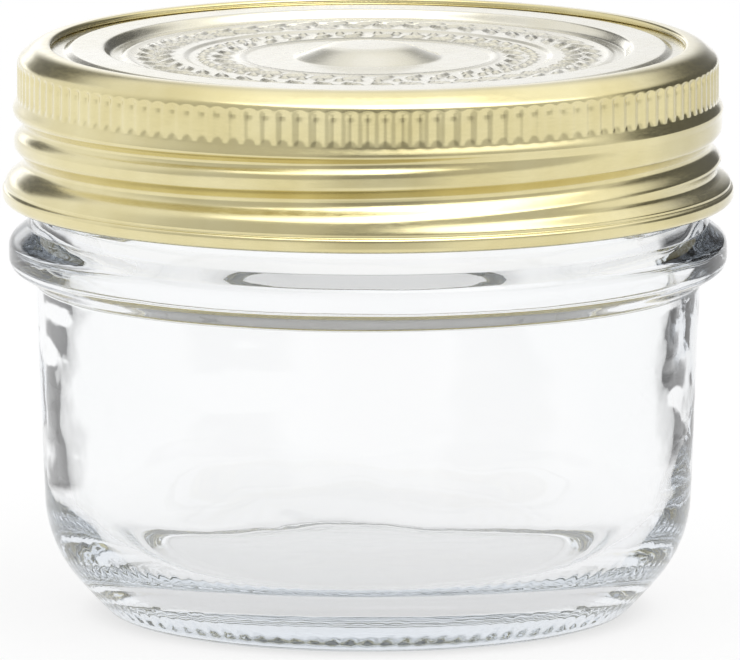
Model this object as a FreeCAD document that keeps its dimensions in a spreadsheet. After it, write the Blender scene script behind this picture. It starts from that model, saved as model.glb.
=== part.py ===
"""Squat glass preserving jar with a two-piece screw closure.

Three pieces, stacked on one axis: a pressed glass jar, a flat metal disc that lies on
the jar's rim, and a metal band that screws onto the jar's thread and clamps the disc.
Units are millimetres and degrees. The axis is Z, and the jar stands on the plane Z = 0.
"""

import FreeCAD, Part
import math
import os
import Sketcher

# The driving sizes: the name in the sheet, the value and what it is.
SIZES = [
    # glass jar, outside
    ("body_radius", 42.2, "outer radius at the top of the body"),
    ("body_height", 42.5, "height of the body, up to the bead"),
    ("body_draft", 1.35, "how far the wall draws in from the body's top to its heel"),
    ("heel_corner", 8.6, "height where the wall's line meets the heel's line"),
    ("heel_round", 16.0, "radius of the big curve at the heel"),
    ("foot_inset", 9.4, "how far the standing edge lies inside the top of the body"),
    ("foot_land", 1.6, "width of the flat ring that the jar stands on"),
    ("foot_round", 2.2, "rounding at the outside of the standing ring"),
    ("push_up", 1.5, "depth of the hollow under the jar"),
    ("push_up_slope", 5.0, "width of the slope round the hollow, and its rounding"),
    ("bead_proud", 3.4, "how far the shoulder's bead stands out from the body"),
    ("bead_height", 7.2, "height of the bead, from the body to the neck"),
    ("bead_flank", 2.0, "height of the bead's upper and lower slopes"),
    ("bead_round", 1.8, "rounding of the bead"),
    ("bead_fillet", 0.7, "rounding where the bead meets the body and the neck"),
    ("neck_height", 21.6, "height of the neck, from the bead to the rim"),
    ("neck_step", 0.1, "how much wider the neck is than the top of the body"),
    ("neck_foot", 0.9, "how far the neck widens just above the bead"),
    ("rim_round", 1.0, "rounding of the rim's two edges"),
    # glass jar, inside
    ("wall", 3.4, "thickness of the glass wall"),
    ("floor_thickness", 4.4, "thickness of the glass floor at the middle"),
    ("inner_heel_round", 11.0, "radius inside, between wall and floor"),
    # thread, shared by the jar and the band
    ("pitch", 4.6, "rise of the thread in one turn"),
    ("thread_height", 1.6, "how far the glass thread stands out from the neck"),
    ("thread_root", 2.5, "width of the glass thread at the neck"),
    ("thread_top", 1.0, "width of the glass thread at its crest"),
    ("thread_play", 0.6, "gap between the glass thread and the band"),
    ("neck_play", 0.9, "gap between the neck and the band's rolled groove"),
    # sealing disc
    ("disc_sheet", 0.4, "thickness of the disc's sheet"),
    ("disc_overhang", 0.1, "how far the disc reaches past the neck"),
    ("ring_gap", 0.7, "how far the disc's raised ring lies inside the jar's mouth"),
    ("ring_width", 5.8, "width of the disc's raised ring, foot to foot"),
    ("ring_slope", 1.5, "width of the raised ring's slopes"),
    ("ring_rise", 0.65, "height of the raised ring over the disc's edge"),
    ("panel_drop", 0.9, "how far the panel lies below the disc's edge"),
    ("step_radius", 23.4, "radius of the step in the panel"),
    ("step_width", 0.9, "width of the step's slope"),
    ("step_drop", 0.25, "height of the step in the panel"),
    ("dome_radius", 9.1, "radius of the dome in the middle"),
    ("dome_crown", 5.0, "radius of the corner between the dome's crown and its slope"),
    ("dome_rise", 1.85, "height of the dome over the panel"),
    ("dome_round", 12.0, "rounding of the dome's crown"),
    ("press_round", 0.7, "rounding of the disc's other pressed edges"),
    # screw band
    ("band_sheet", 0.4, "thickness of the band's sheet"),
    ("hem", 0.9, "thickness of the folded edge that holds the disc"),
    ("hem_round", 0.42, "rounding of the folded edge"),
    ("disc_cover", 2.2, "how far the folded edge covers the disc"),
    ("shoulder_round", 3.0, "outer rounding between the band's top and its wall"),
    ("shoulder_inner", 1.3, "inner rounding between the band's top and its wall"),
    ("lip_step", 0.4, "how far the ledge below the knurling stands out"),
    ("lip_drop", 7.4, "depth of the ledge below the band's top"),
    ("knurl_drop", 6.9, "depth of the knurling's lower end below the band's top"),
    ("knurl_count", 130, "number of flutes round the band"),
    ("knurl_depth", 0.28, "depth of a flute"),
    ("knurl_round", 0.75, "radius of a flute"),
    ("groove_mouth", 3.3, "width of the rolled groove at the band's surface"),
    ("groove_floor", 0.9, "width of the rolled groove at its bottom"),
    ("groove_round", 0.6, "rounding at the groove's bottom"),
    ("groove_foot", 5.1, "height of the groove's start above the band's lower edge"),
    ("groove_head", 2.1, "room between the groove's end and the ledge"),
    ("groove_end", 0.6, "angle of metal left at each end of the groove"),
    ("band_gap", 3.0, "gap between the band's lower edge and the bead"),
    ("curl_proud", 1.5, "how far the curled lower edge stands out from the band"),
    ("curl_height", 2.25, "height of the curled lower edge"),
    ("curl_width", 2.3, "width of the curled lower edge"),
    ("curl_round", 1.1, "rounding of the curled lower edge"),
    ("flare", 1.2, "height of the slope above the curled edge"),
]
ALIASES = {alias for alias, value, meaning in SIZES}

# Sizes that follow from the driving ones, as expressions in the sheet's names.
BEAD_TOP = "(body_height + bead_height)"
RIM = "(body_height + bead_height + neck_height)"
NECK = "(body_radius + neck_step)"
MOUTH = "(body_radius + neck_step - wall)"
FOOT = "(body_radius - foot_inset)"
LAND = "(body_height + bead_height + neck_height + disc_sheet)"
TOP = "(body_height + bead_height + neck_height + disc_sheet + hem)"
BAND = "(body_radius + neck_step + thread_height + thread_play + band_sheet)"
GROOVE_DEPTH = "(thread_height + thread_play - neck_play)"
KNURL = "(body_radius + neck_step + thread_height + thread_play + band_sheet - lip_step)"
BAND_BOTTOM = "(body_height + bead_height + band_gap)"
GROOVE_START = BAND_BOTTOM + " + groove_foot"
GROOVE_RISE = "(" + TOP + " - lip_drop - groove_head - " + BAND_BOTTOM + " - groove_foot)"

doc = FreeCAD.newDocument("jar")
dims = doc.addObject("Spreadsheet::Sheet", "dims")
for row, (alias, value, meaning) in enumerate(SIZES, start=1):
    dims.set("A%d" % row, meaning)
    dims.set("B%d" % row, str(value))
    dims.setAlias("B%d" % row, alias)
doc.recompute()


def from_sheet(expression):
    """The expression with each name in it written as a reference to the sheet."""
    text = ""
    word = ""
    for letter in expression + " ":
        if letter.isalnum() or letter == "_":
            word += letter
            continue
        text += "dims." + word if word in ALIASES else word
        text += letter
        word = ""
    return text.strip()


def size(expression):
    """The value of an expression in the sheet's names."""
    value = dims.evalExpression(from_sheet(expression))
    return float(getattr(value, "Value", value))


def new_body(name):
    body = doc.addObject("PartDesign::Body", name)
    body.Label = name
    return body


def new_sketch(body, name, role):
    """A sketch on the origin plane of the body that has this role."""
    sketch = body.newObject("Sketcher::SketchObject", name)
    planes = [item for item in body.Origin.OriginFeatures if item.Role == role]
    sketch.AttachmentSupport = [(planes[0], "")]
    sketch.MapMode = "FlatFace"
    return sketch


def constrain(sketch, expression, *terms):
    """Adds a constraint whose value comes from the sheet."""
    index = sketch.addConstraint(Sketcher.Constraint(*terms, size(expression)))
    sketch.setExpression("Constraints[%d]" % index, from_sheet(expression))


def pin(sketch, geometry, position, across, up):
    """Ties a point of the sketch to its place. The place 0 puts it on the axis."""
    for kind, axis, place in (("DistanceX", -2, across), ("DistanceY", -1, up)):
        if place == "0":
            sketch.addConstraint(Sketcher.Constraint("PointOnObject", geometry, position, axis))
        else:
            constrain(sketch, place, kind, -1, 1, geometry, position)


def corner_arc(point, before, after, radius):
    """The arc that rounds a corner, where it meets both sides, and whether it turns left."""
    to_before = (before - point).normalize()
    to_after = (after - point).normalize()
    half = to_before.getAngle(to_after) / 2
    reach = radius / math.tan(half)
    centre = point + (to_before + to_after).normalize() * (radius / math.sin(half))
    arrive = point + to_before * reach
    leave = point + to_after * reach
    turns_left = to_before.cross(to_after).z < 0
    first = arrive if turns_left else leave
    angle = math.atan2(first.y - centre.y, first.x - centre.x)
    circle = Part.Circle(centre, FreeCAD.Vector(0, 0, 1), radius)
    arc = Part.ArcOfCircle(circle, angle, angle + math.pi - 2 * half)
    return arc, arrive, leave, turns_left


def draw_outline(sketch, corners):
    """Draws a closed outline of straight sides. Each corner is (across, up, rounding) in
    the sheet's names, and a rounding of None leaves the corner sharp."""
    count = len(corners)
    points = [FreeCAD.Vector(size(across), size(up), 0) for across, up, rounding in corners]
    arcs = []
    for index, (across, up, rounding) in enumerate(corners):
        if rounding is None:
            arcs.append((None, points[index], points[index], None))
            continue
        before = points[index - 1]
        after = points[(index + 1) % count]
        arcs.append(corner_arc(points[index], before, after, size(rounding)))
    for index in range(count):
        start = arcs[index][2]
        end = arcs[(index + 1) % count][1]
        sketch.addGeometry(Part.LineSegment(start, end), False)
    for index, (across, up, rounding) in enumerate(corners):
        side_in = (index - 1) % count
        side_out = index
        if rounding is None:
            sketch.addConstraint(Sketcher.Constraint("Coincident", side_in, 2, side_out, 1))
            pin(sketch, side_out, 1, across, up)
            continue
        curve, arrive, leave, turns_left = arcs[index]
        arc = sketch.addGeometry(curve, False)
        first, last = (1, 2) if turns_left else (2, 1)
        sketch.addConstraint(Sketcher.Constraint("Tangent", side_in, 2, arc, first))
        sketch.addConstraint(Sketcher.Constraint("Tangent", arc, last, side_out, 1))
        constrain(sketch, rounding, "Radius", arc)
        corner = sketch.addGeometry(Part.Point(points[index]), True)
        sketch.addConstraint(Sketcher.Constraint("PointOnObject", corner, 1, side_in))
        sketch.addConstraint(Sketcher.Constraint("PointOnObject", corner, 1, side_out))
        pin(sketch, corner, 1, across, up)


def volume_of(body):
    """The body's volume so far, which each step has to change the right way."""
    doc.recompute()
    return 0.0 if body.Shape.isNull() else body.Shape.Volume


def revolve(body, name, corners):
    """Turns an outline in the XZ plane round the Z axis."""
    sketch = new_sketch(body, name + "_outline", "XZ_Plane")
    draw_outline(sketch, corners)
    feature = body.newObject("PartDesign::Revolution", name)
    feature.Profile = sketch
    feature.ReferenceAxis = (sketch, ["V_Axis"])
    feature.Angle = 360
    doc.recompute()


def wind(body, kind, name, corners, rise, turned=None):
    """Sweeps an outline up the thread, from the jar's left side. The outline can be
    turned forward round the axis by an angle."""
    before = volume_of(body)
    sketch = new_sketch(body, name + "_outline", "XZ_Plane")
    if turned is not None:
        sketch.AttachmentOffset = FreeCAD.Placement(
            FreeCAD.Vector(0, 0, 0), FreeCAD.Rotation(FreeCAD.Vector(0, 1, 0), size(turned)))
        sketch.setExpression("AttachmentOffset.Rotation.Angle", from_sheet(turned))
    draw_outline(sketch, corners)
    feature = body.newObject("PartDesign::" + kind, name)
    feature.Profile = sketch
    feature.ReferenceAxis = (sketch, ["V_Axis"])
    feature.Mode = "pitch-height-angle"
    feature.setExpression("Pitch", from_sheet("pitch"))
    feature.setExpression("Height", from_sheet(rise))
    change = volume_of(body) - before
    if (change > 0) != (kind == "AdditiveHelix"):
        raise RuntimeError(name + " changed the volume by %.1f" % change)


def make_jar():
    """The glass jar: wall, heel, floor, bead, neck and rim in one turn, and its thread."""
    body = new_body("glass_jar")
    foot_inner = FOOT + " - foot_land"
    wall_foot = "body_radius - body_draft"
    bead = "body_radius + bead_proud"
    neck_foot = NECK + " + neck_foot"
    floor_top = "push_up + floor_thickness"
    revolve(body, "jar_wall", [
        # underside and heel
        ("0", "push_up", None),
        (foot_inner + " - push_up_slope", "push_up", "push_up_slope"),
        (foot_inner, "0", None),
        (FOOT, "0", "foot_round"),
        (wall_foot, "heel_corner", "heel_round"),
        # bead
        ("body_radius", "body_height", "bead_fillet"),
        (bead, "body_height + bead_flank", "bead_round"),
        (bead, BEAD_TOP + " - bead_flank", "bead_round"),
        (neck_foot, BEAD_TOP, "bead_fillet"),
        # neck and rim
        (neck_foot, BEAD_TOP + " + neck_foot", None),
        (NECK, BEAD_TOP + " + neck_foot + neck_foot", None),
        (NECK, RIM, "rim_round"),
        (MOUTH, RIM, "rim_round"),
        # inside
        (wall_foot + " - wall", floor_top, "inner_heel_round"),
        ("0", floor_top, None),
    ])
    middle = GROOVE_START + " + pitch / 2"
    root_low = middle + " - thread_root / 2"
    root_high = middle + " + thread_root / 2"
    anchor = "0 - " + NECK + " + wall / 2"
    neck = "0 - " + NECK
    crest = "0 - " + NECK + " - thread_height"
    wind(body, "AdditiveHelix", "jar_thread", [
        (anchor, root_low, None),
        (neck, root_low, None),
        (crest, middle + " - thread_top / 2", None),
        (crest, middle + " + thread_top / 2", None),
        (neck, root_high, None),
        (anchor, root_high, None),
    ], GROOVE_RISE)
    return body


def make_disc():
    """The sealing disc: one pressed sheet with a raised ring, a stepped panel and a dome."""
    body = new_body("sealing_disc")
    ring_outer = MOUTH + " - ring_gap"
    ring_inner = ring_outer + " - ring_width"
    panel = LAND + " - panel_drop"
    middle = panel + " - step_drop"
    face = [
        (NECK + " + disc_overhang", LAND, None),
        (ring_outer, LAND, "press_round"),
        (ring_outer + " - ring_slope", LAND + " + ring_rise", "press_round"),
        (ring_inner + " + ring_slope", LAND + " + ring_rise", "press_round"),
        (ring_inner, panel, "press_round"),
        ("step_radius", panel, "press_round"),
        ("step_radius - step_width", middle, "press_round"),
        ("dome_radius", middle, "press_round"),
        ("dome_crown", middle + " + dome_rise", "dome_round"),
        ("0", middle + " + dome_rise", None),
    ]
    back = [(across, up + " - disc_sheet", rounding) for across, up, rounding in face]
    revolve(body, "disc_sheet_turned", face + back[::-1])
    return body


def make_band():
    """The screw band: a turned sheet with a folded top edge and a curled lower edge, a
    rolled thread groove, whose metal bulges inward, and a knurled grip."""
    body = new_body("screw_band")
    opening = NECK + " + disc_overhang - disc_cover"
    inner = BAND + " - band_sheet"
    lip = TOP + " - lip_drop"
    curl_top = BAND_BOTTOM + " + curl_height"
    curl = BAND + " + curl_proud"
    revolve(body, "band_wall", [
        # folded edge and shoulder
        (opening, LAND, "hem_round"),
        (opening, TOP, "hem_round"),
        (KNURL, TOP, "shoulder_round"),
        # wall and ledge
        (KNURL, lip + " + lip_step", None),
        (BAND, lip, None),
        (BAND, curl_top + " + flare", None),
        # curled edge
        (curl, curl_top, "curl_round"),
        (curl, BAND_BOTTOM, "curl_round"),
        (curl + " - curl_width", BAND_BOTTOM, "curl_round"),
        (curl + " - curl_width", curl_top, None),
        # inside
        (inner, curl_top + " + band_sheet", None),
        (inner, lip + " - band_sheet", None),
        (KNURL + " - band_sheet", lip + " + lip_step - band_sheet", None),
        (KNURL + " - band_sheet", LAND, "shoulder_inner"),
    ])

    def groove(inward, wider, outer_edge):
        """The groove's section, moved inward and made wider to follow the sheet."""
        slope = "(groove_mouth - groove_floor) / 2 / " + GROOVE_DEPTH
        half_floor = "(groove_floor / 2 + " + wider + ")"
        half_outer = half_floor + " + (" + GROOVE_DEPTH + " + " + inward
        half_outer += " - (" + outer_edge + ")) * " + slope
        bottom = "0 - " + BAND + " + " + GROOVE_DEPTH + " + " + inward
        edge = "0 - " + BAND + " + " + outer_edge
        return [
            (edge, GROOVE_START + " - (" + half_outer + ")", None),
            (bottom, GROOVE_START + " - " + half_floor, "groove_round"),
            (bottom, GROOVE_START + " + " + half_floor, "groove_round"),
            (edge, GROOVE_START + " + (" + half_outer + ")", None),
        ]

    wind(body, "AdditiveHelix", "groove_bulge",
         groove("band_sheet", "band_sheet * (sqrt(2) - 1)", "band_sheet / 2"), GROOVE_RISE)
    wind(body, "SubtractiveHelix", "groove",
         groove("0", "0", "0 - band_sheet"),
         "(" + GROOVE_RISE + " - 2 * pitch * groove_end / 360)", turned="groove_end")

    before = volume_of(body)
    flute = new_sketch(body, "flute_outline", "XY_Plane")
    flute.AttachmentOffset = FreeCAD.Placement(
        FreeCAD.Vector(0, 0, size(TOP + " - knurl_drop")), FreeCAD.Rotation())
    flute.setExpression("AttachmentOffset.Base.z", from_sheet(TOP + " - knurl_drop"))
    centre = KNURL + " - knurl_depth + knurl_round"
    middle = FreeCAD.Vector(size(centre), 0, 0)
    circle = Part.Circle(middle, FreeCAD.Vector(0, 0, 1), size("knurl_round"))
    round_cut = flute.addGeometry(circle, False)
    constrain(flute, "knurl_round", "Radius", round_cut)
    pin(flute, round_cut, 3, centre, "0")
    pocket = body.newObject("PartDesign::Pocket", "flute")
    pocket.Profile = flute
    pocket.Reversed = True
    pocket.setExpression("Length", from_sheet("knurl_drop"))
    doc.recompute()
    knurling = body.newObject("PartDesign::PolarPattern", "knurling")
    knurling.Originals = [pocket]
    knurling.Axis = (flute, ["N_Axis"])
    knurling.Angle = 360
    knurling.setExpression("Occurrences", from_sheet("knurl_count"))
    body.Tip = knurling
    if volume_of(body) >= before:
        raise RuntimeError("the knurling cut nothing")
    return body


def check_document(pieces):
    """Stops if a step failed or a piece isn't one sound solid."""
    for item in doc.Objects:
        if "Invalid" in item.State or "Error" in item.State:
            raise RuntimeError(item.Name + " failed: " + ", ".join(item.State))
    for piece in pieces:
        shape = piece.Shape
        if shape.isNull() or not shape.isValid() or len(shape.Solids) != 1:
            raise RuntimeError(piece.Label + " isn't one valid solid")


pieces = [make_jar(), make_disc(), make_band()]
doc.recompute()
check_document(pieces)
os.makedirs("parts", exist_ok=True)
for piece in pieces:
    piece.Shape.exportStep("parts/" + piece.Label + ".step")
    print("%s: %.1f cubic mm" % (piece.Label, piece.Shape.Volume))
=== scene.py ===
"""Looks of the jelly jar: clear glass, an embossed sealing disc and a rolled, knurled screw band.

Each of the three CAD nodes is replaced by a finer mesh of the same size. All three are turned on
the jar's axis from a closed outline, and then given what isn't round: the screw groove, the knurl,
the raised wreath, the glass thread, the heel marks and the uneven inner wall of pressed glass.
Lengths are in metres, and azimuths are counted from +X.
"""

import math

import bpy
import numpy as np
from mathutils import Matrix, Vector, noise


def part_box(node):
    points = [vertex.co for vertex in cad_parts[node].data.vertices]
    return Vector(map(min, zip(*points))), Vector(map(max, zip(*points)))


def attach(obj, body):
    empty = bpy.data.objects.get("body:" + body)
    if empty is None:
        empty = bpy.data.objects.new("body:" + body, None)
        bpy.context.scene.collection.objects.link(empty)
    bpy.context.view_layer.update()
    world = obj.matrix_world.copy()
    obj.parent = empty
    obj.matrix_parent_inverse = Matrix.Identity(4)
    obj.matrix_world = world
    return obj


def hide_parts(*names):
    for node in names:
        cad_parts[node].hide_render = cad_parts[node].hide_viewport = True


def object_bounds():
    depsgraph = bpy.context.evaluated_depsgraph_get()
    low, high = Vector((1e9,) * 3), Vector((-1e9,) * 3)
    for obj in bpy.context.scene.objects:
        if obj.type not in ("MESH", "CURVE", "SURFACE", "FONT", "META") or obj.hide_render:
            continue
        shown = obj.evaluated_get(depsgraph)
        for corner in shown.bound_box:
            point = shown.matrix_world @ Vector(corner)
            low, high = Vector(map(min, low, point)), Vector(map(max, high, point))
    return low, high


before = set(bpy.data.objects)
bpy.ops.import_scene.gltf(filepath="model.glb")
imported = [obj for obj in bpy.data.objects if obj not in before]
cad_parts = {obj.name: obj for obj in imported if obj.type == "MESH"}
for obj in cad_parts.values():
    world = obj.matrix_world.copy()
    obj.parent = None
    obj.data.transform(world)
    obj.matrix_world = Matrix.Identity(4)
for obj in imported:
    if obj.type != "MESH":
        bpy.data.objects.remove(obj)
cad_low, cad_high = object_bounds()

MM = 0.001
TURN = 2 * math.pi

# Heights and radii that the pieces share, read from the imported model.
jar_low, jar_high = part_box("glass_jar")
_, disc_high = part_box("sealing_disc")
band_low, band_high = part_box("screw_band")

RIM = jar_high.z  # top of the glass
FOOT_PLANE = jar_low.z
BEAD_RADIUS = jar_high.x  # the transfer bead, the widest part of the glass
CURL_RADIUS = band_high.x  # the band's curled edge, the widest of all
BAND_TOP = band_high.z
BAND_BOTTOM = band_low.z
DISC_RADIUS = disc_high.x
BUTTON_TOP = disc_high.z  # the press button in the middle of the disc
CONTACT_GAP = 0.02 * MM  # keeps faces that touch from lying in one plane
SAME_POINT = 1e-6  # points of an outline nearer than this are one
ARC_TURN = math.radians(15)  # the most that an arc turns from point to point

# The jar.
BODY_RADIUS = BEAD_RADIUS - 3.4 * MM
BODY_LOW_RADIUS = BODY_RADIUS - 1.35 * MM  # the wall is drafted towards the heel
BEAD_TOP = RIM - 21.6 * MM
NECK_RADIUS = BODY_RADIUS + 0.1 * MM
WALL = 3.4 * MM
MOUTH_RADIUS = NECK_RADIUS - WALL
RIM_RADIUS = (NECK_RADIUS + MOUTH_RADIUS) / 2  # the middle of the rim's flat top
FLOOR = 4.4 * MM
PUSH_UP = 1.5 * MM
FOOT_RADIUS = 32.8 * MM
GLASS_COLUMNS = 300
GLASS_STEP, INNER_STEP = 0.9 * MM, 1.1 * MM
HEEL_MARKS = 96
HEEL_MARK_DEPTH = 0.22 * MM
HEEL_MARKS_LOW, HEEL_MARKS_HIGH = 1.0 * MM, 4.6 * MM
# Waves of the inner wall: size of their features, depth, seed, and squeeze along x, y and z.
SLOW_WAVE = (21 * MM, 0.45 * MM, 1, (1, 1, 1.7))
FINE_WAVE = (7 * MM, 0.08 * MM, 2, (1, 1, 2.2))
FLOOR_WAVE = 0.15  # of the wall's

# The screw thread, the same path on the glass and on the band.
PITCH = 4.65 * MM
THREAD_START = 60.1 * MM
THREAD_PROUD = 1.6 * MM

# The disc.
SHEET = 0.4 * MM
DISC_TOP = RIM + SHEET  # its flat edge
DISC_COLUMNS = 640
FACE_STEP, BACK_STEP = 0.44 * MM, 1.6 * MM
EMBOSSED = 0.28 * MM
WREATH_FROM, WREATH_TO = 15.5 * MM, 31.6 * MM
# Rings of leaves: radius, count, half length, half width, lean from the ring in radians.
LEAVES = (
    (28.2 * MM, 44, 2.3 * MM, 0.75 * MM, 0.5),
    (26.0 * MM, 44, 2.1 * MM, 0.65 * MM, -0.6),
    (18.6 * MM, 30, 2.0 * MM, 0.7 * MM, 0.65),
)
BERRIES, BERRY_RING, BERRY_RADIUS = 54, 21.0 * MM, 0.75 * MM
WREATH_LINES = (30.6 * MM, 16.2 * MM)
LINE_HEIGHT = 0.7  # of the leaves'

# The band.
KNURL_RADIUS = CURL_RADIUS - 1.9 * MM
SKIRT_RADIUS = KNURL_RADIUS + 0.4 * MM
LIP_RADIUS = KNURL_RADIUS - 4.3 * MM  # the hole that shows the disc
LIP_TOP = BAND_TOP - 7.0 * MM  # where the knurl ends and the plain lip begins
TEETH = 130
COLUMNS_PER_TOOTH = 8
BAND_STEP, BAND_INNER_STEP = 0.34 * MM, 0.9 * MM
KNURL_TOP = BAND_TOP - 2.25 * MM
KNURL_DEPTH, KNURL_DEEPER = 0.22 * MM, 0.12 * MM  # the second is added near the top
BEHIND_KNURL = 0.35 * MM  # how far the inside stands back from the flutes
SHOULDER_FROM = KNURL_RADIUS - 2.6 * MM  # further in, the band is plain and round
GROOVE_DEPTH = 1.35 * MM
GROOVE_START = 56.62 * MM  # its height at the back, where the level lead-in ends
GROOVE_ABOVE, GROOVE_BELOW = 2.1 * MM, 2.5 * MM  # half-widths

# Colours, each between a dull and a bright cloud.
BAND_GOLD = (0.71, 0.62, 0.31), (0.79, 0.71, 0.40)
DISC_GOLD = (0.74, 0.70, 0.54), (0.81, 0.78, 0.67)
ENAMEL = (0.74, 0.73, 0.70), (0.80, 0.79, 0.77)
GLASS_TINT = (0.985, 0.99, 0.99), (1.0, 1.0, 1.0)
BAND_ROUGHNESS, DISC_ROUGHNESS = (0.16, 0.26), (0.2, 0.3)

# The studio. Levels are emission strengths, where 1 is white.
CAMERA_BACK, CAMERA_UP, CAMERA_ASIDE = 2.16, 0.385, 0.25 * MM
AIM_HEIGHT = 35.75 * MM
SENSOR = 36
LENS_OVER_SENSOR = 23.2689
KEY_PLACE, KEY_AIM = (0.3, -0.5, 1.5), (0, 0, 0.04)
KEY_SIZE, KEY_POWER = 1.0, 4
FLOOR_REACH = 6.0
FLOOR_COLOUR, FLOOR_GLOW = (0.17, 0.17, 0.17, 1), 0.84
PAINTED_SHADOW_SHARE, PAINTED_SHADOW_EDGE = 0.8, (30 * MM, 38 * MM)  # painted shadow under the jar: the share of the floor's glow left there, and the radii of its edge
FLOOR_MIRRORED = 1.03
GAPS_FROM = (0.08, 0.16)  # radii between which the floor starts to show the studio's gaps
GAPS_TO = (0.4, 0.55)  # radii between which it is white again to glass
GAP_EDGES = (-0.75, -0.15)  # cosines of four times the azimuth
GAP_LEVEL, SIDE_WHITE, FRONT_DIM = 0.08, 0.95, 0.62
FRONT_EDGE = (-0.5, 0.3)  # y of a direction, from the dim front to the white sides
CEILING, SOFTBOX = 1.15, 2.5
CEILING_TOWARD, CEILING_EDGE = (0.22, 0.975), (0.68, 0.82)  # its x and z, and its edge along them
SOFTBOX_EDGE = (-0.12, 0.1)  # y of a direction
# Black flags round the jar: azimuth and half-width in degrees, the light left, and the sines of the
# elevations between which one stands. A flag on the floor has no height.
FLOOR_FLAGS = ((-86, 15, 0.7), (40, 24, 0.8))
WALL_FLAGS = (
    (-86, 15, 0.55, -0.1, 0.7),
    (44, 36, 0.13, -0.02, 0.52),
    (115, 12, 0.15, 0.2, 0.6),
    (105, 8, 1.8, 0.08, 0.22),  # a white card
)
FLAG_BLUR = 9  # degrees
FOOT_BLUR, HEAD_BLUR = 0.04, 0.1
WALL_CROSSINGS = 2  # into and out of one wall
BOUNCES = 24  # light runs a long way inside the thick heel and bead


# --- Mesh helpers --------------------------------------------------------------------------------


def arc(before, corner, after, rounding, step):
    """Points of the tangent arc that rounds a corner between its two neighbours."""
    back, ahead = (before - corner).normalized(), (after - corner).normalized()
    half = back.angle(ahead) / 2
    centre = corner + (back + ahead).normalized() * (rounding / math.sin(half))
    start = corner + back * (rounding / math.tan(half)) - centre
    turn = math.pi - 2 * half
    if start.x * back.y - start.y * back.x > 0:
        turn = -turn
    count = max(3, math.ceil(abs(turn) / ARC_TURN), math.ceil(abs(turn) * rounding / step))
    points = []
    for k in range(count + 1):
        c, s = math.cos(turn * k / count), math.sin(turn * k / count)
        points.append(centre + Vector((c * start.x - s * start.y, s * start.x + c * start.y)))
    return points


def rounded(corners, step):
    """Points along an outline of (radius, height, rounding) corners, at most step apart."""
    points = []
    for i, (r, z, rounding) in enumerate(corners):
        here = Vector((r, z))
        if rounding == 0 or i in (0, len(corners) - 1):
            points.append(here)
        else:
            before, after = Vector(corners[i - 1][:2]), Vector(corners[i + 1][:2])
            points += arc(before, here, after, rounding, step)
    filled = [points[0]]
    for point in points[1:]:
        last = filled[-1]
        gap = (point - last).length
        if gap < SAME_POINT:
            continue
        count = math.ceil(gap / step)
        filled += [last.lerp(point, k / count) for k in range(1, count + 1)]
    return np.array(filled)


def angles(columns):
    """The azimuth of each column."""
    return np.arange(columns) * TURN / columns


def smooth(low, high, x):
    """0 below low, 1 above high, and an S-curve between."""
    t = np.clip((x - low) / (high - low), 0, 1)
    return t * t * (3 - 2 * t)


def ring(radius, height, columns):
    """One row of points; the radius may be a number or one value for each column."""
    a = angles(columns)
    return np.stack([radius * np.cos(a), radius * np.sin(a), height + 0 * a], axis=1)


def pole(height):
    """A row of one point on the axis."""
    return np.array([[0, 0, height]])


def faces_between(ia, na, ib, nb):
    """Faces from a row of na points that starts at ia to one of nb points that starts at ib."""
    if na == 1:
        return [(ia, ib + (k + 1) % nb, ib + k) for k in range(nb)]
    if nb == 1:
        return [(ia + k, ia + (k + 1) % na, ib) for k in range(na)]
    if na == nb:
        return [(ia + k, ia + (k + 1) % na, ib + (k + 1) % nb, ib + k) for k in range(na)]
    faces = []
    if na == 2 * nb:
        for k in range(nb):
            f0, f1, f2 = ia + 2 * k, ia + 2 * k + 1, ia + (2 * k + 2) % na
            c0, c1 = ib + k, ib + (k + 1) % nb
            faces += [(f0, f1, c0), (f1, c1, c0), (f1, f2, c1)]
    else:
        for k in range(na):
            f0, f1, f2 = ib + 2 * k, ib + 2 * k + 1, ib + (2 * k + 2) % nb
            c0, c1 = ia + k, ia + (k + 1) % na
            faces += [(f1, f0, c0), (c1, f1, c0), (f2, f1, c1)]
    return faces


def turned(name, rows, closed):
    """A mesh from rows of points round the axis. closed joins the last row to the first.

    Neighbouring rows have as many points, or one has twice as many as the other or is a pole.
    """
    starts, count = [], 0
    for row in rows:
        starts.append(count)
        count += len(row)
    pairs = list(zip(range(len(rows) - 1), range(1, len(rows))))
    if closed:
        pairs.append((len(rows) - 1, 0))
    faces = []
    for a, b in pairs:
        faces += faces_between(starts[a], len(rows[a]), starts[b], len(rows[b]))
    mesh = bpy.data.meshes.new(name)
    mesh.from_pydata(np.concatenate(rows).tolist(), [], faces)
    mesh.validate()
    mesh.shade_smooth()
    piece = bpy.data.objects.new(name, mesh)
    bpy.context.scene.collection.objects.link(piece)
    return piece


def uneven(points, scale, seed):
    """Smooth noise from -1 to 1 at each point, with features of about scale."""
    shift = Vector((seed * 7.31, seed * 3.17, seed * 5.53))
    return np.array([noise.noise(Vector(p) / scale + shift) for p in points])


# --- Glass jar -----------------------------------------------------------------------------------

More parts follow.
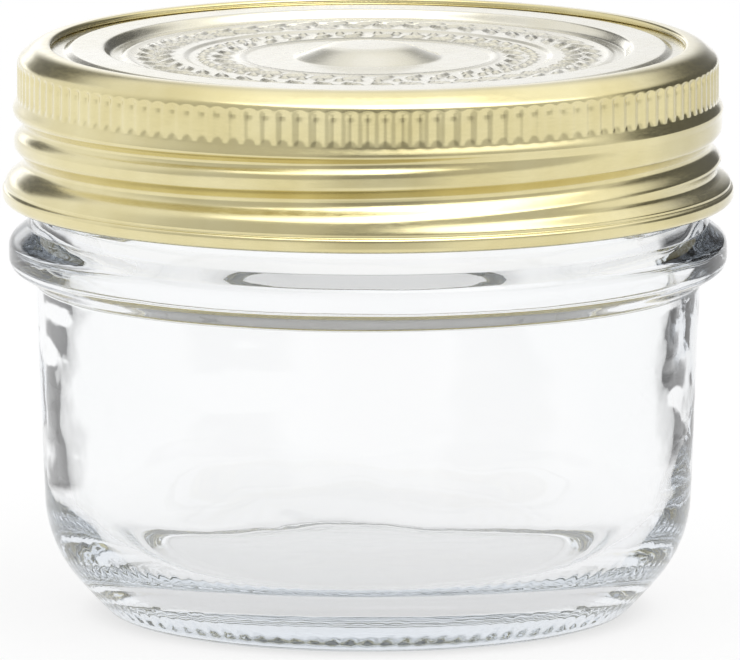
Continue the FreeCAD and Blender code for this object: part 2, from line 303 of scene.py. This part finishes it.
GLASS_OUTSIDE = [
    (0, FOOT_PLANE + PUSH_UP, 0),
    (26.2 * MM, FOOT_PLANE + PUSH_UP, 5 * MM),
    (31.2 * MM, FOOT_PLANE, 0.5 * MM),
    (FOOT_RADIUS, FOOT_PLANE, 2.2 * MM),
    (BODY_LOW_RADIUS, 8.6 * MM, 16 * MM),
    (BODY_RADIUS, BEAD_TOP - 7.2 * MM, 0.9 * MM),
    (BEAD_RADIUS, BEAD_TOP - 5.2 * MM, 1.8 * MM),
    (BEAD_RADIUS, BEAD_TOP - 2.0 * MM, 1.8 * MM),
    (NECK_RADIUS + 0.9 * MM, BEAD_TOP, 0.7 * MM),
    (NECK_RADIUS, BEAD_TOP + 1.8 * MM, 0.5 * MM),
    (NECK_RADIUS, RIM - CONTACT_GAP, 1 * MM),
    (RIM_RADIUS, RIM - CONTACT_GAP, 0),
]
GLASS_INSIDE = [
    (RIM_RADIUS, RIM - CONTACT_GAP, 0),
    (MOUTH_RADIUS, RIM - CONTACT_GAP, 1 * MM),
    (BODY_LOW_RADIUS - WALL, PUSH_UP + FLOOR, 11 * MM),
    (0, PUSH_UP + FLOOR, 0),
]


def glass_thread(a, z):
    """How far the thread stands out of the neck: one and a quarter turns, faded at both ends."""
    proud = 0 * a
    for turn in (0, 1, 2):
        along = (a - math.pi) / TURN + turn
        centre = THREAD_START + PITCH * along
        ends = smooth(-0.05, 0.05, along) * (1 - smooth(1.1, 1.2, along))
        proud = np.maximum(proud, ends * (1 - smooth(0.5 * MM, 1.35 * MM, np.abs(z - centre))))
    return THREAD_PROUD * proud


def heel_marks(a, z):
    """The stippled ring above the foot, which keeps hot glass off a cold surface."""
    across = np.cos(a * HEEL_MARKS) * 0.5 + 0.5
    window = smooth(HEEL_MARKS_LOW, HEEL_MARKS_LOW + 1 * MM, z) * (
        1 - smooth(HEEL_MARKS_HIGH - 1.2 * MM, HEEL_MARKS_HIGH, z)
    )
    return -HEEL_MARK_DEPTH * across**2 * window


def waved(row, r, z):
    """A row of the inner wall with the slow waves of pressed glass, calm at the rim and floor."""
    wave = 0
    for size, depth, seed, squeeze in (SLOW_WAVE, FINE_WAVE):
        wave = wave + uneven(row * squeeze, size, seed) * depth
    share = smooth(10 * MM, 30 * MM, r) * (0.2 + 0.8 * smooth(8 * MM, 20 * MM, z))
    outward = wave * smooth(0, 12 * MM, RIM - z) * share
    a = angles(len(row))
    row[:, 0] += outward * np.cos(a)
    row[:, 1] += outward * np.sin(a)
    row[:, 2] += wave * (1 - smooth(5 * MM, 12 * MM, z)) * FLOOR_WAVE
    return row


def make_glass():
    """The jar: outside with its thread and stippled heel, inside with its waves."""
    a = angles(GLASS_COLUMNS)
    rows = [pole(GLASS_OUTSIDE[0][1])]
    for r, z in rounded(GLASS_OUTSIDE, GLASS_STEP)[1:]:
        radius = r + 0 * a
        if z > BEAD_TOP + 2 * MM and r > NECK_RADIUS - 0.01 * MM:
            radius = radius + glass_thread(a, z)
        if z < 9 * MM and r > FOOT_RADIUS:
            radius = radius + heel_marks(a, z)
        rows.append(ring(radius, z, GLASS_COLUMNS))
    for r, z in rounded(GLASS_INSIDE, INNER_STEP)[1:-1]:
        rows.append(waved(ring(r, z, GLASS_COLUMNS), r, z))
    rows.append(pole(GLASS_INSIDE[-1][1]))
    return turned("glass_body", rows, closed=False)


# --- Sealing disc --------------------------------------------------------------------------------

DISC_FACE = [
    (DISC_RADIUS, DISC_TOP, 0),
    (38.6 * MM, DISC_TOP, 0.6 * MM),
    (37.7 * MM, DISC_TOP + 0.45 * MM, 0.6 * MM),
    (33.5 * MM, DISC_TOP + 0.45 * MM, 0.5 * MM),
    (32.7 * MM, DISC_TOP - 0.65 * MM, 0.5 * MM),
    (23.4 * MM, DISC_TOP - 0.65 * MM, 0.7 * MM),
    (22.7 * MM, DISC_TOP - 0.9 * MM, 0.7 * MM),
    (9.4 * MM, DISC_TOP - 0.9 * MM, 1.5 * MM),
    (5.0 * MM, BUTTON_TOP, 7 * MM),
    (0, BUTTON_TOP, 0),
]


def leaf(x, y, at, ring_radius, length, width, lean):
    """Height from 0 to 1 of one leaf of the wreath, at an angle round the ring."""
    dx, dy = x - ring_radius * math.cos(at), y - ring_radius * math.sin(at)
    way = at + math.pi / 2 + lean
    along = dx * math.cos(way) + dy * math.sin(way)
    over = -dx * math.sin(way) + dy * math.cos(way)
    return 1 - smooth(0.55, 1.0, np.sqrt((along / length) ** 2 + (over / width) ** 2))


def wreath(x, y):
    """Height from 0 to 1 of a plain wreath: rings of leaves and berries between two fine lines."""
    height = np.zeros_like(x)
    for ring_radius, count, length, width, lean in LEAVES:
        for k in range(count):
            at = TURN * (k + (0.5 if lean < 0 else 0)) / count
            height = np.maximum(height, leaf(x, y, at, ring_radius, length, width, lean))
    for k in range(BERRIES):
        at = TURN * k / BERRIES
        dx, dy = x - BERRY_RING * math.cos(at), y - BERRY_RING * math.sin(at)
        height = np.maximum(height, 1 - smooth(0.4, 1.0, np.hypot(dx, dy) / BERRY_RADIUS))
    for line in WREATH_LINES:
        away = np.abs(np.hypot(x, y) - line)
        height = np.maximum(height, LINE_HEIGHT * (1 - smooth(0.15 * MM, 0.45 * MM, away)))
    return height


def make_disc():
    """The disc: its face with the wreath, and its plain, enamelled back one sheet lower."""
    back = [(r, z - SHEET + CONTACT_GAP / 2, rounding) for r, z, rounding in DISC_FACE]
    rows = [pole(back[-1][1])]
    for r, z in rounded(back, BACK_STEP)[-2::-1]:
        rows.append(ring(r, z, DISC_COLUMNS if r > 30 * MM else DISC_COLUMNS // 2))
    for r, z in rounded(DISC_FACE, FACE_STEP)[:-1]:
        row = ring(r, z, DISC_COLUMNS if r > 15 * MM else DISC_COLUMNS // 2)
        if WREATH_FROM < r < WREATH_TO:
            row[:, 2] += EMBOSSED * wreath(row[:, 0], row[:, 1])
        rows.append(row)
    rows.append(pole(BUTTON_TOP))
    disc = turned("disc_face", rows, closed=False)
    for polygon in disc.data.polygons:
        polygon.material_index = int(polygon.normal.z < -0.05)  # the underside is enamelled
    return disc


# --- Screw band ----------------------------------------------------------------------------------

BAND_OUTSIDE = [
    (LIP_RADIUS, BAND_TOP - 0.45 * MM, 0),
    (LIP_RADIUS, BAND_TOP, 0.42 * MM),
    (KNURL_RADIUS - 2.3 * MM, BAND_TOP, 3.2 * MM),
    (KNURL_RADIUS, BAND_TOP - 1.9 * MM, 1.2 * MM),
    (KNURL_RADIUS, LIP_TOP + 0.15 * MM, 0.6 * MM),
    (SKIRT_RADIUS + 0.2 * MM, LIP_TOP - 1.0 * MM, 0.6 * MM),
    (SKIRT_RADIUS, LIP_TOP - 1.9 * MM, 0.8 * MM),
    (SKIRT_RADIUS, BAND_BOTTOM + 4.9 * MM, 1.8 * MM),
    (CURL_RADIUS - 0.35 * MM, BAND_BOTTOM + 2.35 * MM, 0.35 * MM),
    (CURL_RADIUS - 0.5 * MM, BAND_BOTTOM + 2.0 * MM, 0.2 * MM),
    (CURL_RADIUS, BAND_BOTTOM + 1.75 * MM, 0.5 * MM),
    (CURL_RADIUS, BAND_BOTTOM, 0.85 * MM),
    (CURL_RADIUS - 2.2 * MM, BAND_BOTTOM, 0.85 * MM),
    (CURL_RADIUS - 2.2 * MM, BAND_BOTTOM + 2.4 * MM, 0.3 * MM),
]
BAND_INSIDE = [
    (SKIRT_RADIUS - SHEET, BAND_BOTTOM + 2.7 * MM, 0),
    (SKIRT_RADIUS - SHEET, LIP_TOP - 0.8 * MM, 0.5 * MM),
    (KNURL_RADIUS - SHEET, LIP_TOP, 0.5 * MM),
    (KNURL_RADIUS - SHEET, DISC_TOP, 1.3 * MM),
    (LIP_RADIUS, DISC_TOP, 0.42 * MM),
    (LIP_RADIUS, BAND_TOP - 0.47 * MM, 0),
]


def groove(a, z):
    """How far the rolled screw groove sinks into the skirt.

    It starts level, low at the front right, then rises one pitch a turn from the back and runs out
    at the front, narrower.
    """
    depth = 0 * a
    for turn in (-1, 0, 1):
        along = (a - math.pi / 2) / TURN + turn
        centre = GROOVE_START + PITCH * np.where(along < 0, 0.3 * along, along)
        late = smooth(0.9, 1.5, along)
        ends = smooth(-0.52, -0.24, along) * (1 - smooth(1.42, 1.66, along)) * (1 - 0.25 * late)
        above = GROOVE_ABOVE - 0.75 * MM * late
        below = GROOVE_BELOW - 1.0 * MM * late
        half = np.where(z > centre, above, below)
        shape = 0.5 + 0.5 * np.cos(np.pi * np.clip((z - centre) / half, -1, 1))
        depth = np.maximum(depth, ends * shape)
    return GROOVE_DEPTH * depth


def knurl(a, z):
    """Flutes between rounded teeth. They end abruptly under the shoulder and fade into the lip."""
    across = (0.5 - 0.5 * np.cos(a * TEETH)) ** 1.3
    window = smooth(LIP_TOP, LIP_TOP + 1.0 * MM, z) * (
        1 - smooth(KNURL_TOP - 0.4 * MM, KNURL_TOP, z)
    )
    deeper = smooth(KNURL_TOP - 1.6 * MM, KNURL_TOP - 0.4 * MM, z)
    return (KNURL_DEPTH + KNURL_DEEPER * deeper) * across * window


def make_band():
    """The band: knurled above, rolled below, with a curled edge."""
    fine = TEETH * COLUMNS_PER_TOOTH
    coarse = fine // 2
    rows = []
    for r, z in rounded(BAND_OUTSIDE, BAND_STEP):
        columns = fine if z > LIP_TOP and r > SHOULDER_FROM else coarse
        a = angles(columns)
        radius = r + 0 * a
        if r > SHOULDER_FROM:
            skirt = (1 - smooth(LIP_TOP - 1.6 * MM, LIP_TOP - 0.2 * MM, z)) * smooth(
                BAND_BOTTOM + 2.2 * MM, BAND_BOTTOM + 3.6 * MM, z
            )
            radius = radius - knurl(a, z) - groove(a, z) * skirt
        rows.append(ring(radius, z, columns))
    a = angles(coarse)
    for r, z in rounded(BAND_INSIDE, BAND_INNER_STEP):
        radius = r + 0 * a
        if r > KNURL_RADIUS - 1.2 * MM:
            behind_knurl = BEHIND_KNURL * smooth(LIP_TOP, LIP_TOP + 1 * MM, z)
            radius = radius - groove(a, z) - behind_knurl
        rows.append(ring(radius, z, coarse))
    return turned("band_shell", rows[::-1], closed=True)


# --- Materials -----------------------------------------------------------------------------------


def new_material(name):
    """An empty node material: itself, its nodes and its Principled shader."""
    material = bpy.data.materials.new(name)
    material.use_nodes = True
    return material, material.node_tree, material.node_tree.nodes["Principled BSDF"]


def noise_value(tree, scale, detail, stretch=(1, 1, 1)):
    """The value of a noise texture in the object's own metres."""
    place = tree.nodes.new("ShaderNodeTexCoord")
    mapping = tree.nodes.new("ShaderNodeMapping")
    mapping.inputs["Scale"].default_value = stretch
    texture = tree.nodes.new("ShaderNodeTexNoise")
    texture.inputs["Scale"].default_value = scale
    texture.inputs["Detail"].default_value = detail
    tree.links.new(place.outputs["Object"], mapping.inputs["Vector"])
    tree.links.new(mapping.outputs["Vector"], texture.inputs["Vector"])
    return texture.outputs["Fac"]


def clouded(tree, shader, scale, detail, colours, low=0.35, high=0.65):
    """Gives the shader a base colour that drifts between two, by noise from low to high."""
    node = tree.nodes.new("ShaderNodeValToRGB")
    for element, place, colour in zip(node.color_ramp.elements, (low, high), colours):
        element.position = place
        element.color = (*colour, 1)
    tree.links.new(noise_value(tree, scale, detail), node.inputs["Fac"])
    tree.links.new(node.outputs["Color"], shader.inputs["Base Color"])


def map_node(tree, source, from_range, to_range, smooth_step=False):
    """Maps a value from one range to another, in a straight line or an S-curve."""
    node = tree.nodes.new("ShaderNodeMapRange")
    if smooth_step:
        node.interpolation_type = "SMOOTHSTEP"
    node.inputs["From Min"].default_value, node.inputs["From Max"].default_value = from_range
    node.inputs["To Min"].default_value, node.inputs["To Max"].default_value = to_range
    tree.links.new(source, node.inputs["Value"])
    return node.outputs["Result"]


def roughened(tree, shader, value, between):
    """Gives the shader a roughness that drifts between two with a noise value."""
    tree.links.new(map_node(tree, value, (0.3, 0.7), between), shader.inputs["Roughness"])


def bump(tree, shader, value, distance, strength):
    """Fine relief from a noise value."""
    node = tree.nodes.new("ShaderNodeBump")
    node.inputs["Distance"].default_value = distance
    node.inputs["Strength"].default_value = strength
    tree.links.new(value, node.inputs["Height"])
    tree.links.new(node.outputs["Normal"], shader.inputs["Normal"])


def tinplate(name, golds, roughness):
    """Lacquered tinplate: clouded gold, with the fine mottle of rolled sheet under a thin coat."""
    material, tree, shader = new_material(name)
    clouded(tree, shader, 90, 4, golds)
    roughened(tree, shader, noise_value(tree, 700, 3, (1, 1, 6)), roughness)
    bump(tree, shader, noise_value(tree, 1100, 3), 0.01 * MM, 0.35)
    shader.inputs["Metallic"].default_value = 1.0
    shader.inputs["Coat Weight"].default_value = 0.9
    shader.inputs["Coat Roughness"].default_value = 0.12
    return material


def white_enamel():
    """The baked enamel of the disc's underside, with a faint orange peel."""
    material, tree, shader = new_material("underside_enamel")
    clouded(tree, shader, 120, 3, ENAMEL)
    peel = noise_value(tree, 900, 2)
    roughened(tree, shader, peel, (0.3, 0.42))
    bump(tree, shader, peel, 0.02 * MM, 0.3)
    return material


def clear_glass():
    """Pressed soda-lime glass, faintly grey-blue in its thick parts."""
    material, tree, shader = new_material("clear_pressed_glass")
    clouded(tree, shader, 40, 2, GLASS_TINT, 0.3, 0.7)
    roughened(tree, shader, noise_value(tree, 160, 3), (0.0, 0.035))
    bump(tree, shader, noise_value(tree, 150, 2), 0.12 * MM, 0.35)
    shader.inputs["Transmission Weight"].default_value = 1.0
    shader.inputs["IOR"].default_value = 1.5
    absorb = tree.nodes.new("ShaderNodeVolumeAbsorption")
    absorb.inputs["Color"].default_value = (0.3, 0.43, 0.58, 1)
    absorb.inputs["Density"].default_value = 5.0
    tree.links.new(absorb.outputs["Volume"], tree.nodes["Material Output"].inputs["Volume"])
    return material


# --- The pieces ----------------------------------------------------------------------------------

disc_tinplate = tinplate("disc_tinplate", DISC_GOLD, DISC_ROUGHNESS)
band_tinplate = tinplate("band_tinplate", BAND_GOLD, BAND_ROUGHNESS)
PIECES = (
    (make_glass, "glass_jar", "clear_glass", (clear_glass(),)),
    (make_disc, "sealing_disc", "disc_metal", (disc_tinplate, white_enamel())),
    (make_band, "screw_band", "band_metal", (band_tinplate,)),
)
for make, node, slot, materials in PIECES:
    piece = make()
    for material in materials:
        piece.data.materials.append(material)
    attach(piece, "root")
    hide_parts(node)

# --- Studio --------------------------------------------------------------------------------------


def add_camera():
    """The long lens at the side, ten degrees up, with the whole jar filling the picture."""
    data = bpy.data.cameras.new("camera")
    data.sensor_width = SENSOR
    data.lens = SENSOR * LENS_OVER_SENSOR
    data.clip_end = 50
    camera = bpy.data.objects.new("camera", data)
    camera.location = (CAMERA_ASIDE, -CAMERA_BACK, CAMERA_UP)
    aim = Vector((CAMERA_ASIDE, 0, AIM_HEIGHT)) - camera.location
    camera.rotation_euler = aim.to_track_quat("-Z", "Y").to_euler()
    bpy.context.scene.collection.objects.link(camera)
    bpy.context.scene.camera = camera


def add_key():
    """A square area lamp that looks down at the jar."""
    data = bpy.data.lights.new("key", "AREA")
    data.shape = "SQUARE"
    data.size = KEY_SIZE
    data.energy = KEY_POWER
    lamp = bpy.data.objects.new("key", data)
    lamp.location = KEY_PLACE
    aim = Vector(KEY_AIM) - Vector(KEY_PLACE)
    lamp.rotation_euler = aim.to_track_quat("-Z", "Y").to_euler()
    bpy.context.scene.collection.objects.link(lamp)


def feed(tree, socket, value):
    """Sets a socket to a number, or links it to another socket."""
    if isinstance(value, (int, float)):
        socket.default_value = value
    else:
        tree.links.new(value, socket)


def math_node(tree, operation, *values):
    """A Math node over sockets or numbers; returns its output."""
    node = tree.nodes.new("ShaderNodeMath")
    node.operation = operation
    for socket, value in zip(node.inputs, values):
        feed(tree, socket, value)
    return node.outputs[0]


def highest(tree, first, *others):
    """The highest of several values."""
    for other in others:
        first = math_node(tree, "MAXIMUM", first, other)
    return first


def weighed(tree, a, weight_a, b, weight_b):
    """The sum of two values, each times its weight."""
    return math_node(
        tree,
        "ADD",
        math_node(tree, "MULTIPLY", a, weight_a),
        math_node(tree, "MULTIPLY", b, weight_b),
    )


def blend_node(tree, factor, a, b):
    """a where factor is 0, b where it is 1."""
    mix = tree.nodes.new("ShaderNodeMix")
    mix.data_type = "FLOAT"
    for name, value in (("Factor", factor), ("A", a), ("B", b)):
        feed(tree, mix.inputs[name], value)
    return mix.outputs["Result"]


def coordinates(tree, kind):
    """The x, y and z of a texture coordinate."""
    place = tree.nodes.new("ShaderNodeTexCoord")
    axes = tree.nodes.new("ShaderNodeSeparateXYZ")
    tree.links.new(place.outputs[kind], axes.inputs[0])
    return axes.outputs


def ray_kinds(tree):
    """1 or 0 for each of four kinds of ray.

    They are one straight from the camera, one that came off metal or a glass face, one that only
    went along a wall of glass, and one that went right through the jar.
    """
    path = tree.nodes.new("ShaderNodeLightPath")
    through = path.outputs["Is Transmission Ray"]
    depth = path.outputs["Transmission Depth"]
    deep = math_node(tree, "GREATER_THAN", depth, WALL_CROSSINGS + 0.5)
    not_through = math_node(tree, "SUBTRACT", 1.0, through)
    mirrored = math_node(tree, "MULTIPLY", path.outputs["Is Glossy Ray"], not_through)
    along = math_node(tree, "MULTIPLY", through, math_node(tree, "SUBTRACT", 1.0, deep))
    across = math_node(tree, "MULTIPLY", through, deep)
    return path.outputs["Is Camera Ray"], mirrored, along, across


def gapped(tree, x, y):
    """The studio's level to the edges of glass: white on four sides, dark half-way between them."""
    azimuth = math_node(tree, "ARCTAN2", y, x)
    side = math_node(tree, "COSINE", math_node(tree, "MULTIPLY", azimuth, 4.0))
    return map_node(tree, side, GAP_EDGES, (GAP_LEVEL, SIDE_WHITE), True)


def flagged(tree, x, y, flags, level, z=None):
    """A level with the shade of each flag taken off it, for a direction or a place on the floor."""
    azimuth = math_node(tree, "ARCTAN2", y, x)
    for toward, reach, shade, *heights in flags:
        off = math_node(tree, "SUBTRACT", azimuth, math.radians(toward))
        facing = math_node(tree, "COSINE", off)
        outer = math.cos(math.radians(reach + FLAG_BLUR))
        inner = math.cos(math.radians(reach - FLAG_BLUR))
        cover = map_node(tree, facing, (outer, inner), (0.0, 1.0), True)
        if heights:
            foot, head = heights
            above = map_node(tree, z, (foot - FOOT_BLUR, foot + FOOT_BLUR), (0.0, 1.0), True)
            below = map_node(tree, z, (head - HEAD_BLUR, head + HEAD_BLUR), (1.0, 0.0), True)
            cover = math_node(tree, "MULTIPLY", cover, math_node(tree, "MULTIPLY", above, below))
        level = math_node(tree, "MULTIPLY", blend_node(tree, cover, 1.0, shade), level)
    return level


def add_floor():
    """A wide pale floor that takes the jar's shadow and is white to the camera, metal and glass.

    Under the jar its glow is dimmed into a painted shadow. Away from the jar, it has the studio's
    flags and gaps for the rays that show them.
    """
    mesh = bpy.data.meshes.new("floor")
    signs = ((-1, -1), (1, -1), (1, 1), (-1, 1))
    corners = [(x * FLOOR_REACH, y * FLOOR_REACH, 0) for x, y in signs]
    mesh.from_pydata(corners, [], [(0, 1, 2, 3)])
    floor = bpy.data.objects.new("floor", mesh)
    floor.location.z = cad_low.z - 0.01 * MM
    bpy.context.scene.collection.objects.link(floor)
    material = bpy.data.materials.new("pale_floor")
    material.use_nodes = True
    tree = material.node_tree
    tree.nodes.clear()
    base = tree.nodes.new("ShaderNodeBsdfDiffuse")
    base.inputs["Color"].default_value = FLOOR_COLOUR
    glow, gaps = (tree.nodes.new("ShaderNodeEmission") for _ in range(2))
    near, mix = tree.nodes.new("ShaderNodeAddShader"), tree.nodes.new("ShaderNodeMixShader")
    out = tree.nodes.new("ShaderNodeOutputMaterial")

    camera, mirrored, along, across = ray_kinds(tree)
    x, y, _ = coordinates(tree, "Object")
    radius = math_node(tree, "SQRT", weighed(tree, x, x, y, y))
    # painted shadow: the floor's glow is dimmed inside the jar's foot
    under = map_node(tree, radius, PAINTED_SHADOW_EDGE, (PAINTED_SHADOW_SHARE * FLOOR_GLOW, FLOOR_GLOW), True)
    seen = highest(tree, camera, mirrored, along, across)
    feed(tree, glow.inputs["Strength"], math_node(tree, "MULTIPLY", seen, under))

    mirror = flagged(tree, x, y, FLOOR_FLAGS, FLOOR_MIRRORED)
    farther = map_node(tree, radius, GAPS_TO, (0.0, 1.0), True)
    edges = blend_node(tree, farther, gapped(tree, x, y), 1.0)
    feed(tree, gaps.inputs["Strength"], blend_node(tree, along, mirror, edges))
    far = map_node(tree, radius, GAPS_FROM, (0.0, 1.0), True)
    shows_gaps = math_node(tree, "MULTIPLY", far, highest(tree, mirrored, along))

    tree.links.new(base.outputs[0], near.inputs[0])
    tree.links.new(glow.outputs[0], near.inputs[1])
    tree.links.new(shows_gaps, mix.inputs["Fac"])
    tree.links.new(near.outputs[0], mix.inputs[1])
    tree.links.new(gaps.outputs[0], mix.inputs[2])
    tree.links.new(mix.outputs[0], out.inputs["Surface"])
    mesh.materials.append(material)


def add_world():
    """White behind everything for the camera and through glass.

    What lights the jar and shows in its metal is a studio: a bright ceiling with a soft box at the
    front, a white sweep round the sides and back, and black flags in front of it.
    """
    world = bpy.data.worlds.new("studio")
    bpy.context.scene.world = world
    world.use_nodes = True
    tree = world.node_tree
    background = tree.nodes["Background"]
    background.inputs["Color"].default_value = (1, 1, 1, 1)
    x, y, z = coordinates(tree, "Generated")
    camera, mirrored, along, across = ray_kinds(tree)
    sides = map_node(tree, y, FRONT_EDGE, (FRONT_DIM, SIDE_WHITE), True)
    walls = flagged(tree, x, y, WALL_FLAGS, sides, z)
    toward_x, toward_z = CEILING_TOWARD
    upward = weighed(tree, x, toward_x, z, toward_z)
    overhead = map_node(tree, upward, CEILING_EDGE, (0.0, 1.0), True)
    in_front = map_node(tree, y, SOFTBOX_EDGE, (1.0, 0.0), True)
    softbox = math_node(tree, "MULTIPLY", mirrored, in_front)
    ceiling = blend_node(tree, softbox, CEILING, SOFTBOX)
    studio = blend_node(tree, overhead, walls, ceiling)
    white = highest(tree, camera, along, across)
    feed(tree, background.inputs["Strength"], blend_node(tree, white, studio, 1.0))


add_camera()
add_floor()
add_world()
add_key()

scene = bpy.context.scene
scene.view_settings.view_transform = "Standard"
scene.cycles.max_bounces = 2 * BOUNCES
scene.cycles.glossy_bounces = BOUNCES
scene.cycles.transmission_bounces = BOUNCES
